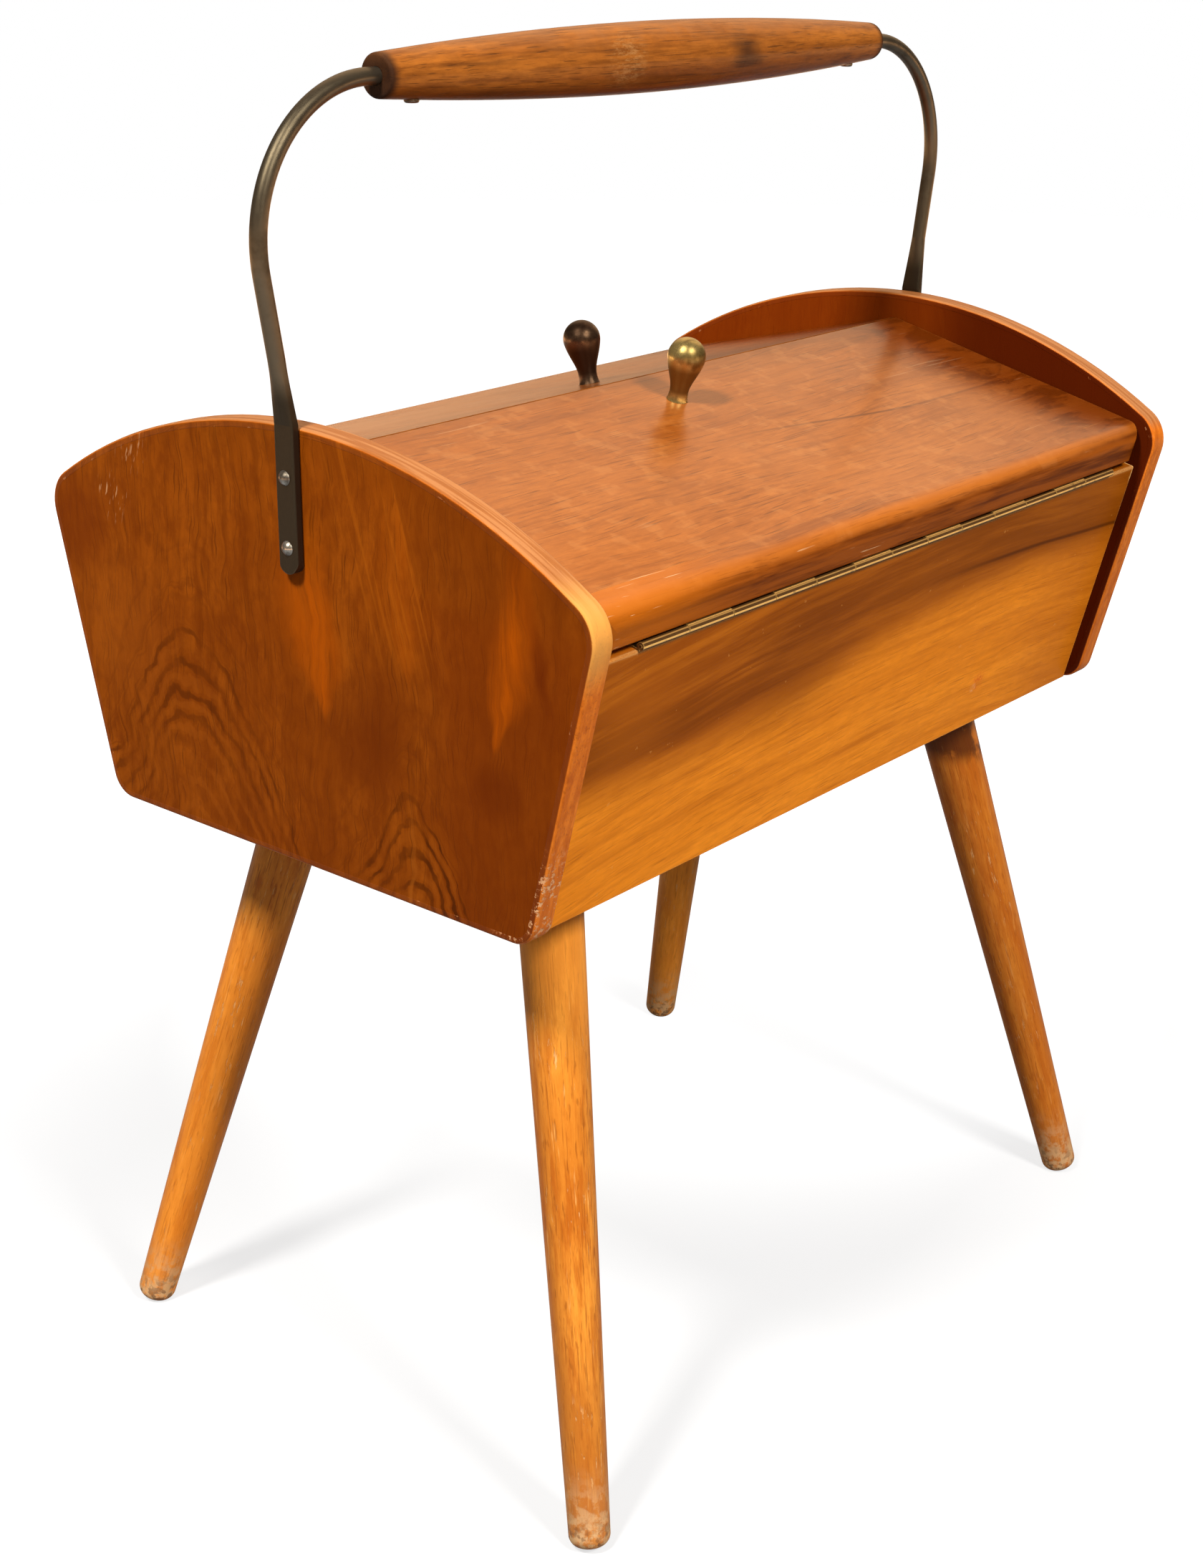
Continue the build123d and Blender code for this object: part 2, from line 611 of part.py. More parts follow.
with BuildPart() as grip_screws:
    with BuildSketch(Plane.XY.offset(grip_screw_seat)):
        with Locations(*screw_spots):
            Circle(grip_screw_radius)
    extrude(amount=grip_height + rod_radius + grip_screw_past_rod - grip_screw_seat)
    with BuildSketch(Plane.XY.offset(grip_screw_seat)):
        with Locations(*screw_spots):
            Circle(grip_screw_head_radius)
    extrude(amount=-grip_screw_head_height)
    head_rims = grip_screws.edges().filter_by(GeomType.CIRCLE).group_by(Axis.Z)[0]
    fillet(head_rims, grip_screw_head_height / 2)
save(grip_screws.part, "grip_screws")

with BuildPart() as strap_screws:
    for end in ends.values():
        strap_face = half_length + strap_thickness
        for _, z in strap_screw_points:
            with BuildSketch(Plane.XY.offset(z)):
                with BuildLine():
                    shank_x = end * (half_length - strap_screw_in_panel)
                    seat_x = end * strap_face
                    top_x = end * (strap_face + strap_screw_head_height)
                    Polyline((shank_x, 0), (shank_x, strap_screw_radius), (seat_x, strap_screw_radius),
                             (seat_x, strap_screw_head_radius))
                    RadiusArc((seat_x, strap_screw_head_radius), (top_x, 0),
                              end * (strap_screw_head_radius**2 + strap_screw_head_height**2)
                              / (2 * strap_screw_head_height))
                    Line((top_x, 0), (shank_x, 0))
                make_face()
            revolve(axis=Axis((0, 0, z), (1, 0, 0)))
save(strap_screws.part, "handle_screws")
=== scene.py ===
"""Looks for the sewing carrier: its materials, the studio around it and the camera."""

import json
import math

import bpy
from mathutils import Matrix, Vector

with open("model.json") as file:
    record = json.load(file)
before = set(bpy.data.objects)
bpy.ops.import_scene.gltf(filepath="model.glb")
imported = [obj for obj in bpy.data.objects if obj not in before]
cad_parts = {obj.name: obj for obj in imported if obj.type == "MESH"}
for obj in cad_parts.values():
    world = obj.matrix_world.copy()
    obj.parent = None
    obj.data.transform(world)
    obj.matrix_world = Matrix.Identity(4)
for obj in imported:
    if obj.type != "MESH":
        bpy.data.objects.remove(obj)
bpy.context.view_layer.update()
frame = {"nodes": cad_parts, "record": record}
nodes = frame["nodes"]

# Places on the object that the finishes refer to, in metres
HALF_LENGTH = 0.2075  # from the middle to an end panel's outer face
INNER_FACE = HALF_LENGTH - 0.0110
UNDERSIDE = 0.267
TOP_ARRIS = 0.372  # the long panels' outer top arris lies above this
KNOB_FOOT = 0.430
ROD_FLAT = 0.450  # top of a rod's flattened end
LID_NORMAL = (0.2334, 0.9724)  # a lid's upward direction, outward and up
LEG_TOP = Vector((0.144, 0.069, UNDERSIDE))  # rear right leg, from the box to the floor
LEG_SPREAD = Vector((0.049, 0.0665, -UNDERSIDE))

# Plain grain of each wood: light, middle, dark and pore colours, in linear RGB as all tones here
VENEER_TONES = ((0.300, 0.0660, 0.0028), (0.245, 0.0500, 0.0018),
                (0.120, 0.0215, 0.0009), (0.050, 0.0100, 0.0008))
LIPPING_TONES = ((0.690, 0.1880, 0.0170), (0.610, 0.1480, 0.0092),
                 (0.390, 0.0750, 0.0040), (0.170, 0.0340, 0.0030))
PANEL_TONES = ((0.860, 0.2680, 0.0150), (0.760, 0.2240, 0.0105),
               (0.480, 0.1230, 0.0055), (0.260, 0.0600, 0.0030))
LID_TONES = ((0.330, 0.0900, 0.0110), (0.280, 0.0700, 0.0070),
             (0.165, 0.0350, 0.0030), (0.095, 0.0200, 0.0020))
LEG_TONES = ((0.790, 0.3050, 0.0400), (0.680, 0.2350, 0.0245),
             (0.420, 0.1080, 0.0070), (0.220, 0.0540, 0.0050))
INNER_TONES = ((0.440, 0.2100, 0.0750), (0.360, 0.1650, 0.0520),
               (0.240, 0.1000, 0.0300), (0.140, 0.0600, 0.0200))
GRIP_TONES = ((0.370, 0.1150, 0.0150), (0.225, 0.0590, 0.0068),
              (0.085, 0.0200, 0.0030), (0.030, 0.0095, 0.0030))

# Figure of the end panels, across the panel (Y) and up (Z)
ARCHES = ((0.063, 0.350, 2.0, 0.025), (-0.056, 0.3125, 1.9, 0.007))  # middle, apex, slope and bluntness
ARCH_RING = 0.0118  # from one dark ring of an arch to the next
STREAKS = ((-0.0130, 0.16, 0.3290, 0.372, 0.0145, 0.82),  # foot, lean, tip, top, width and strength
           (-0.1000, -0.20, 0.3370, 0.392, 0.0085, 1.00),
           (-0.0560, 0.00, 0.3520, 0.405, 0.0150, 0.30))
CLOUDS = ((0.130, 0.383, 0.030, 0.60, (0.150, 0.0240, 0.0012)),  # middle, height, radius, strength and tone
          (-0.036, 0.326, 0.030, 0.65, (0.130, 0.0210, 0.0010)),
          (0.105, 0.340, 0.042, 0.35, (0.300, 0.0680, 0.0046)))

# Studio: glow of the paper in the open and in the object's shade, and light of the room
FLOOR_GLOW = 0.68
SHADED_GLOW = 0.88
ROOM_LIGHT = 0.22
DAYLIGHT = (1.0, 0.985, 0.96)
WHITE = (1.0, 1.0, 1.0)

# What gloss reflects: a direction, its soft edge as two cosines, strengths outside and inside, colour
WARM = (1.0, 0.68, 0.42)
CREAM = (1.0, 0.88, 0.70)
REFLECTED = (((0.72, 0.35, 0.60), 0.70, 0.98, 0.16, 1.0, WARM),
             ((-0.16, -0.76, 0.63), 0.93, 0.99, 0.0, 5.0, CREAM),
             ((-0.64, -0.05, 0.77), 0.93, 0.99, 0.0, 6.5, CREAM))

# Camera, as fitted to the photograph
CAMERA_PLACE = (-0.75731, -0.60409, 0.62463)
AZIMUTH, ELEVATION, ROLL = math.radians(-50.98), math.radians(21.84), math.radians(0.89)
FRAME_HEIGHT = 36.0
LENS = 51.644
SHIFT = (-0.0141, 0.0040)


# ---------------------------------------------------------------- shader helpers
def shader_value(value):
    """A colour of three numbers with its alpha, or anything else as it is."""
    return (*value, 1.0) if isinstance(value, tuple) else value


class Net:
    """The node tree of a material or world, with short calls for the nodes that the finishes use."""

    def __init__(self, owner):
        self.owner = owner
        owner.use_nodes = True
        self.tree = owner.node_tree
        self.tree.nodes.clear()
        places = self.add("ShaderNodeTexCoord").outputs
        self.point = places["Object"]
        self.facing = places["Normal"]
        self.heading = places["Generated"]

    def add(self, kind, **settings):
        node = self.tree.nodes.new(kind)
        for key, value in settings.items():
            setattr(node, key, value)
        return node

    def feed(self, socket, value):
        if isinstance(value, bpy.types.NodeSocket):
            self.tree.links.new(value, socket)
        elif value is not None:
            socket.default_value = value

    def result(self, kind, values, **settings):
        """Add a node, feed its first sockets and return its first output."""
        node = self.add(kind, **settings)
        for socket, value in zip(node.inputs, values):
            self.feed(socket, value)
        return node.outputs[0]

    # Numbers
    def math(self, operation, *values):
        return self.result("ShaderNodeMath", values, operation=operation)

    def chain(self, operation, first, others):
        for other in others:
            first = self.math(operation, first, other)
        return first

    def times(self, first, *others):
        return self.chain("MULTIPLY", first, others)

    def plus(self, first, *others):
        return self.chain("ADD", first, others)

    def larger(self, first, *others):
        return self.chain("MAXIMUM", first, others)

    def minus(self, a, b):
        return self.math("SUBTRACT", a, b)

    def absolute(self, value):
        return self.math("ABSOLUTE", value)

    def sign(self, value):
        return self.math("SIGN", value)

    def span(self, value, low, high, to_low=0.0, to_high=1.0):
        """Map low..high smoothly to to_low..to_high."""
        values = (value, low, high, to_low, to_high)
        return self.result("ShaderNodeMapRange", values, interpolation_type="SMOOTHSTEP")

    def line(self, distance, full, none):
        """1 where a distance is under full, either way, fading to 0 at none."""
        return self.span(self.absolute(distance), full, none, 1.0, 0.0)

    # Vectors
    def vector(self, operation, a, b=None):
        node = self.add("ShaderNodeVectorMath", operation=operation)
        self.feed(node.inputs[0], a)
        self.feed(node.inputs[1], b)
        return node.outputs["Value" if operation in ("DOT_PRODUCT", "LENGTH", "DISTANCE") else "Vector"]

    def moved(self, offset, vector=None):
        return self.vector("ADD", vector or self.point, offset)

    def scaled(self, factors, vector=None):
        return self.vector("MULTIPLY", vector or self.point, factors)

    def split(self, vector):
        node = self.add("ShaderNodeSeparateXYZ")
        self.feed(node.inputs[0], vector)
        return node.outputs

    def join(self, x, y, z):
        return self.result("ShaderNodeCombineXYZ", (x, y, z))

    def stretched(self, across_a, across_b, along, ratio):
        """A point whose third axis runs along the grain, shortened so that patterns become long."""
        return self.join(across_a, across_b, self.times(along, ratio))

    # Patterns
    def noise(self, vector, scale, detail=3.0, rough=0.55, distortion=0.0):
        node = self.add("ShaderNodeTexNoise")
        values = {"Vector": vector, "Scale": scale, "Detail": detail,
                  "Roughness": rough, "Distortion": distortion}
        for key, value in values.items():
            self.feed(node.inputs[key], value)
        return node.outputs[0]

    def centred(self, value, amount):
        """A noise value moved to lie about 0, times an amount."""
        return self.times(self.minus(value, 0.5), amount)

    def patches(self, vector, scale, detail, low, high, to_low=0.0, to_high=1.0, rough=0.55):
        """Noise with low..high mapped smoothly to to_low..to_high."""
        return self.span(self.noise(vector, scale, detail, rough), low, high, to_low, to_high)

    def near(self, place, radius, soft=0.5):
        """1 within a radius of a place, fading to 0."""
        gap = self.vector("DISTANCE", self.point, place)
        return self.span(gap, radius * (1 - soft), radius, 1.0, 0.0)

    def edges(self, radius):
        """1 on edges that handling rubs, 0 on flats."""
        soft = self.add("ShaderNodeBevel", samples=6)
        soft.inputs["Radius"].default_value = radius
        sharp = self.add("ShaderNodeNewGeometry").outputs["Normal"]
        return self.span(self.vector("DOT_PRODUCT", soft.outputs[0], sharp), 0.995, 0.90)

    # Colours and shaders
    def mix(self, factor, a, b):
        node = self.add("ShaderNodeMix", data_type="RGBA")
        self.feed(node.inputs[0], factor)
        for socket, value in zip(node.inputs[6:8], (a, b)):
            self.feed(socket, shader_value(value))
        return node.outputs[2]

    def tint(self, color, mask, strength, tone):
        """A colour turned to a tone by a mask, to a strength."""
        return self.mix(self.times(mask, strength), color, tone)

    def normal(self, height, distance, strength=1.0, bevel=0.0):
        bump = self.add("ShaderNodeBump")
        self.feed(bump.inputs["Height"], height)
        bump.inputs["Distance"].default_value = distance
        bump.inputs["Strength"].default_value = strength
        if bevel:
            soft = self.add("ShaderNodeBevel", samples=4)
            soft.inputs["Radius"].default_value = bevel
            self.feed(bump.inputs["Normal"], soft.outputs[0])
        return bump.outputs[0]

    def surface(self, color, roughness, normal, metallic=0.0, coat=0.0, coat_rough=0.2, specular=0.5):
        """Finish a material with a principled shader and return it."""
        shader = self.add("ShaderNodeBsdfPrincipled")
        values = {"Base Color": shader_value(color), "Roughness": roughness, "Metallic": metallic,
                  "Coat Weight": coat, "Coat Roughness": coat_rough, "Specular IOR Level": specular,
                  "Normal": normal}
        for key, value in values.items():
            self.feed(shader.inputs[key], value)
        return self.shown(shader.outputs[0], "ShaderNodeOutputMaterial")

    def shown(self, shader, kind):
        """Feed a shader to an output node and return the material or world."""
        self.feed(self.add(kind).inputs[0], shader)
        return self.owner


def finish(name):
    """The empty node tree of a new material."""
    return Net(bpy.data.materials.new(name))


def grain(net, across_a, across_b, along, tones, streak=22.0, fine=260.0, pore=0.5, seed=0.0, depth=1.0):
    """Colour, height and broad bands of plain straight-grained wood."""
    light, middle, dark, pores = tones
    place = net.moved((seed, seed * 0.7, seed * 1.3), net.stretched(across_a, across_b, along, 0.055))
    broad = net.noise(place, streak, 4.0, 0.6, 0.6)
    narrow = net.noise(place, streak * 5.5, 5.0, 0.65, 0.3)
    thin = net.noise(place, fine, 3.0, 0.7)
    mottle = net.noise(net.stretched(across_a, across_b, along, 0.30), 380.0, 3.0, 0.65)
    color = net.mix(net.span(broad, 0.36, 0.66), light, middle)
    color = net.mix(net.span(narrow, 0.44, 0.76, 0.0, 0.78 * depth), color, dark)
    color = net.mix(net.span(thin, 0.46, 0.74, 0.0, 0.60 * depth), color, dark)
    color = net.mix(net.span(mottle, 0.34, 0.64, 0.30 * depth, 0.0), color, dark)
    short = net.moved((seed + 3.1, 0.0, 0.0), net.stretched(across_a, across_b, along, 0.035))
    dashes = net.patches(short, 1500.0, 1.0, 0.60, 0.72, rough=0.4)
    color = net.tint(color, dashes, pore, pores)
    return color, net.plus(net.times(thin, 0.4), net.times(dashes, -0.8)), broad


# ---------------------------------------------------------------- wood finishes
def veneer_figure(net):
    """Dark red-brown veneer, grain upright, with two ringed arches and sharp orange streaks."""
    x, y, z = net.split(net.point)
    slow = net.centred(net.noise(net.point, 22.0), 0.020)
    quick = net.centred(net.noise(net.moved((3.0, 0.0, 0.0)), 75.0, 4.0, 0.6), 0.0070)
    y_bent = net.plus(y, slow)
    z_bent = net.plus(z, quick, net.times(slow, 0.4))
    color, height = grain(net, x, y_bent, z, VENEER_TONES,
                          streak=30.0, fine=330.0, pore=0.50, seed=2.0, depth=0.62)[:2]
    cloud = net.noise(net.moved((0.0, 9.0, 0.0)), 26.0, 4.0, 0.6)
    color = net.mix(net.span(cloud, 0.40, 0.66, 0.0, 0.50), color, (0.165, 0.0290, 0.0010))
    mottle = net.patches(net.scaled((1.0, 1.0, 0.6)), 150.0, 4.0, 0.40, 0.68, 0.0, 0.50, rough=0.7)
    color = net.mix(mottle, color, (0.140, 0.0240, 0.0010))

    # Broad areas: redder towards the front and the rear edge, dull between the arches
    front = net.times(net.span(y_bent, -0.055, -0.082), net.span(z, 0.402, 0.380))
    color = net.tint(color, front, 0.62, (0.146, 0.0225, 0.0009))
    for middle, level, radius, strength, tone in CLOUDS:
        color = net.tint(color, net.near((-HALF_LENGTH, middle, level), radius, 0.8), strength, tone)
    color = net.tint(color, net.span(z, 0.418, 0.440), 0.30, (0.170, 0.0350, 0.0016))

    def arch(middle, apex, slope, blunt):
        """0 along the outermost ring of an arch, falling inward."""
        off = net.minus(y_bent, middle)
        leg = net.math("SQRT", net.plus(net.times(off, off), blunt * blunt))
        return net.plus(net.times(net.minus(leg, blunt), slope), net.minus(z_bent, apex))

    # Arches: dark rings with pale wood between, the second one darker, with a pale spine
    field = net.plus(net.math("MINIMUM", *(arch(*numbers) for numbers in ARCHES)), net.times(quick, 0.30))
    uneven = net.plus(field, net.centred(cloud, 0.030))
    wave = net.math("COSINE", net.times(uneven, 2.0 * math.pi / ARCH_RING))
    broken = net.patches(net.point, 55.0, 3.0, 0.36, 0.60, 0.30, 1.0)
    inside = net.times(net.span(field, 0.0008, 0.0026, 1.0, 0.0), broken)
    rings = net.times(net.span(wave, 0.25, 0.95), inside, net.span(field, -0.052, -0.026, 0.10, 1.0))
    color = net.tint(color, net.times(net.span(wave, -0.2, -0.9), inside), 0.30, (0.310, 0.0720, 0.0046))
    color = net.tint(color, rings, 0.70, (0.090, 0.0165, 0.0008))
    second = net.times(rings, net.span(y_bent, -0.030, -0.036))
    color = net.tint(color, second, 0.55, (0.052, 0.0100, 0.0008))
    spine = net.line(net.minus(y_bent, ARCHES[1][0]), 0.0003, 0.0014)
    spine = net.times(spine, net.span(z, 0.312, 0.304), broken)
    color = net.tint(color, spine, 0.60, (0.340, 0.0850, 0.0060))
    echo = net.times(net.span(field, 0.0, 0.004), net.span(field, 0.014, 0.055, 1.0, 0.0),
                     net.patches(net.join(uneven, 0.7, 0.0), 190.0, 2.0, 0.50, 0.64))
    color = net.tint(color, echo, 0.45, (0.128, 0.0230, 0.0012))
    above = net.near((-HALF_LENGTH, -0.046, 0.346), 0.030, 0.8)
    color = net.tint(color, above, 0.45, (0.125, 0.0200, 0.0009))
    red_line = net.line(net.plus(y_bent, net.times(net.minus(z, 0.385), -0.22), 0.1180), 0.0008, 0.0045)
    color = net.tint(color, net.times(red_line, net.span(z, 0.350, 0.372)), 0.50, (0.095, 0.0105, 0.0006))

    # Orange pointed streaks, each in dark wood, and a fan of paler lines near the front
    ragged = net.noise(net.stretched(x, y_bent, z, 0.08), 190.0, 4.0, 0.7)
    for foot, lean, tip, top, width, strength in STREAKS:
        middle = net.plus(foot, net.times(net.minus(z, tip), lean))
        off = net.plus(net.absolute(net.minus(y_bent, middle)), net.centred(ragged, 0.010))
        reach = net.span(z, tip - 0.002, tip + 0.032, 0.0006, width)
        spike = net.times(net.span(net.math("DIVIDE", off, reach), 0.05, 1.45, 1.0, 0.0),
                          net.span(z_bent, tip - 0.003, tip + 0.010),
                          net.span(z, top, top + 0.045, 1.0, 0.0),
                          net.span(ragged, 0.36, 0.62, 0.35, 1.0))
        color = net.tint(color, spike, strength, (0.385, 0.0690, 0.0008))
    below = net.near((-HALF_LENGTH, -0.100, 0.324), 0.017, 0.8)
    color = net.tint(color, below, 0.55, (0.108, 0.0150, 0.0008))
    fan = net.plus(y, net.times(net.minus(0.437, z), 0.30))
    fan_lines = net.patches(net.join(fan, 0.4, net.times(z, 0.03)), 420.0, 3.0, 0.50, 0.62)
    fan_area = net.times(net.span(fan, -0.064, -0.048), net.span(fan, -0.006, -0.026),
                         net.span(z, 0.345, 0.380))
    color = net.tint(color, net.times(fan_lines, fan_area), 0.45, (0.330, 0.0760, 0.0030))

    # Two leaves of veneer meet on a slanting line near the front; the front leaf is darker at the top
    seam = net.minus(y, net.times(net.minus(z, 0.434), 0.32))
    leaf = net.times(net.span(seam, -0.0494, -0.0502), net.span(z, 0.378, 0.404))
    color = net.tint(color, leaf, 0.50, (0.135, 0.0240, 0.0010))

    # Pale scratches near the rear top corner
    rub = net.larger(net.near((-HALF_LENGTH, 0.106, 0.397), 0.012),
                   net.times(net.near((-HALF_LENGTH, 0.093, 0.420), 0.013), 0.8))
    thin = net.join(x, net.plus(y, net.times(z, 0.25)), net.times(z, 0.16))
    worn = net.times(net.patches(net.moved((1.7, 0.0, 0.0), thin), 900.0, 2.0, 0.60, 0.68), rub)
    color = net.tint(color, worn, 0.75, (0.500, 0.2400, 0.1000))

    # The inner faces are plain and dark, and towards the front are painted darker still as shade
    sheen = net.patches(net.point, 30.0, 3.0, 0.3, 0.7, 0.30, 0.42)
    inner = net.span(net.absolute(x), INNER_FACE, INNER_FACE + 0.001, 1.0, 0.0)
    color = net.tint(color, inner, 0.75, (0.160, 0.0200, 0.0011))
    # Painted shade: the front part of the inner faces is made nearly black
    color = net.mix(net.times(inner, net.span(y, 0.010, -0.050, 0.0, 0.85)), color, (0.048, 0.0048, 0.0006))
    return color, net.minus(height, worn), sheen


def end_veneer():
    """The veneered boards inside the lipping."""
    net = finish("end_veneer")
    color, height, sheen = veneer_figure(net)
    return net.surface(color, sheen, net.normal(height, 0.00008, 0.4), specular=0.02)


def lipping_wood():
    """Honey strip bent round the end panels, bright and chipped where hands and floors rub it, with painted
    highlights on its edges and front top corner and painted sheen on its top.
    """
    net = finish("lipping_wood")
    x, y, z = net.split(net.point)
    above = net.minus(z, 0.30)
    along = net.times(net.math("ARCTAN2", y, above), 0.15)
    out = net.vector("LENGTH", net.join(y, above, 0.0))
    color, height = grain(net, x, out, along, LIPPING_TONES, streak=60.0, fine=420.0, pore=0.35, seed=5.0)[:2]
    layers = net.patches(net.join(x, 0.0, net.times(along, 0.03)), 520.0, 2.0, 0.42, 0.58)
    color = net.tint(color, layers, 0.40, (0.400, 0.0780, 0.0040))
    # Painted sheen: the upward face of the strip is turned to a dull tan
    dome = net.span(net.split(net.facing)[2], 0.35, 0.75)
    dull = net.mix(layers, (0.350, 0.1460, 0.0520), (0.250, 0.0860, 0.0240))
    color = net.tint(color, dome, 0.88, dull)
    # Edges rubbed pale, which also stands as a painted highlight along the arrises
    rubbed = net.times(net.edges(0.0014), net.patches(net.point, 60.0, 3.0, 0.35, 0.60, 0.35, 1.0))
    color = net.tint(color, rubbed, 0.50, (0.500, 0.2100, 0.0600))
    # A bright patch on the front top corner: wear, and a painted highlight on the rounding
    corner = net.near((-HALF_LENGTH, -0.141, 0.392), 0.026, 0.8)
    color = net.tint(color, corner, 0.72, (0.600, 0.2950, 0.0640))
    low = net.larger(net.near((-HALF_LENGTH, -0.119, 0.284), 0.030, 0.7),
                   net.near((-HALF_LENGTH, -0.112, 0.268), 0.018, 0.7))
    chips = net.times(net.patches(net.point, 380.0, 4.0, 0.52, 0.60, rough=0.7), low)
    nicks = net.patches(net.moved((7.0, 0.0, 0.0)), 210.0, 3.0, 0.66, 0.70)
    chips = net.larger(chips, net.times(nicks, net.edges(0.0020), 0.6))
    color = net.tint(color, chips, 0.80, (0.640, 0.3700, 0.1900))
    sheen = net.plus(0.36, net.times(chips, 0.3))

    # The face veneer runs over the strip to its softened edge, where wear shows the strip again
    veneer = veneer_figure(net)[0]
    flat = net.span(net.absolute(net.split(net.facing)[0]), 0.80, 0.97)
    color = net.mix(net.times(flat, net.minus(1.0, chips)), color, veneer)
    bump = net.normal(net.plus(height, net.times(chips, -3.0)), 0.00014, 0.5, bevel=0.0004)
    return net.surface(color, sheen, bump, specular=0.10)


def panel_wood():
    """Honey-gold veneer, grain along the box, with a dark streaked band towards the top."""
    net = finish("panel_wood")
    x, y, z = net.split(net.point)
    off = net.minus(x, 0.06)
    slow = net.centred(net.noise(net.scaled((1.0, 1.0, 3.0)), 5.0, 2.0), 0.016)
    bent = net.plus(z, net.times(off, off, 0.35), slow)
    color, height = grain(net, y, bent, x, PANEL_TONES,
                          streak=20.0, fine=300.0, pore=0.30, seed=8.0, depth=0.80)[:2]
    place = net.stretched(y, bent, x, 0.050)
    soft = net.noise(place, 30.0, 5.0, 0.65, 0.5)
    streaks = net.noise(net.moved((0.0, 4.0, 0.0), place), 90.0, 5.0, 0.72)

    # The dark band: its lower border rises to the right
    border = net.plus(net.span(x, -0.15, 0.08, 0.3270, 0.3510), net.span(x, 0.10, 0.20, 0.0, -0.004))
    level = net.plus(net.minus(z, border), net.centred(soft, 0.030))
    wide = net.times(net.span(level, -0.024, 0.006), net.span(streaks, 0.34, 0.62, 0.72, 1.0))
    color = net.mix(wide, color, (0.300, 0.0680, 0.0032))
    upper_left = net.times(net.span(x, -0.06, -0.15), net.span(level, 0.018, 0.026), 0.72)
    close = net.times(net.span(level, -0.004, 0.007), net.minus(1.0, upper_left),
                      net.span(streaks, 0.40, 0.62, 0.20, 0.95))
    color = net.mix(close, color, (0.195, 0.0420, 0.0014))
    low = net.patches(net.moved((6.0, 0.0, 0.0), place), 60.0, 4.0, 0.50, 0.68, 0.0, 0.30, rough=0.6)
    color = net.mix(low, color, (0.520, 0.1350, 0.0060))
    right = net.times(net.span(x, 0.11, 0.198), net.span(soft, 0.25, 0.65, 0.55, 1.0))
    color = net.tint(color, right, 0.60, (0.400, 0.0960, 0.0040))
    corner = net.times(net.span(x, -0.07, 0.12), net.span(level, -0.010, 0.006))
    color = net.tint(color, corner, 0.58, (0.150, 0.0320, 0.0010))
    middle = net.near((-0.060, -0.1290, 0.3500), 0.055, 0.9)
    color = net.tint(color, middle, 0.40, (0.150, 0.0310, 0.0010))
    above = net.times(net.span(bent, 0.3575, 0.3610), net.span(x, -0.10, 0.05),
                      net.span(streaks, 0.36, 0.60, 1.0, 0.35))
    color = net.tint(color, above, 0.50, (0.380, 0.1000, 0.0055))
    line = net.times(net.line(net.minus(bent, 0.3555), 0.0002, 0.0016), net.span(x, 0.02, 0.10),
                     net.span(streaks, 0.30, 0.50, 0.4, 1.0))
    color = net.tint(color, line, 0.75, (0.070, 0.0150, 0.0008))
    left = net.near((-0.165, -0.1280, 0.3440), 0.038, 0.9)
    color = net.tint(color, left, 0.35, (0.420, 0.1080, 0.0060))

    # A flaking knot with a pale spot, dents, and rubbed arrises, the top one palest
    flaky = net.patches(net.point, 520.0, 3.0, 0.44, 0.60, 0.15, 1.0)
    knot = net.times(net.near((0.103, -0.1146, 0.2896), 0.0070, 0.8), flaky)
    color = net.tint(color, knot, 0.80, (0.620, 0.1150, 0.0100))
    spot = net.times(net.near((0.100, -0.1146, 0.2872), 0.0030, 0.6), flaky)
    color = net.tint(color, spot, 0.60, (0.800, 0.4400, 0.1900))
    dents = net.patches(net.moved((4.0, 1.0, 0.0)), 260.0, 2.0, 0.735, 0.760)
    color = net.tint(color, dents, 0.30, (0.700, 0.3000, 0.0700))
    arris = net.times(net.edges(0.0010), net.patches(net.point, 70.0, 3.0, 0.35, 0.60, 0.4, 1.0))
    color = net.tint(color, arris, 0.55, (0.720, 0.3400, 0.1000))
    top_arris = net.times(net.edges(0.0024), net.span(z, TOP_ARRIS - 0.004, TOP_ARRIS),
                          net.patches(place, 60.0, 3.0, 0.32, 0.52, 0.35, 1.0))
    color = net.tint(color, top_arris, 0.85, (0.900, 0.5200, 0.1800))
    sheen = net.patches(net.point, 26.0, 3.0, 0.3, 0.7, 0.32, 0.42)
    bump = net.normal(net.minus(height, dents), 0.00009, 0.4, bevel=0.0003)
    return net.surface(color, sheen, bump, specular=0.03)


def outward(net):
    """The part of the surface's direction that points away from the box's middle, to the front or rear."""
    return net.times(net.split(net.facing)[1], net.sign(net.split(net.point)[1]))


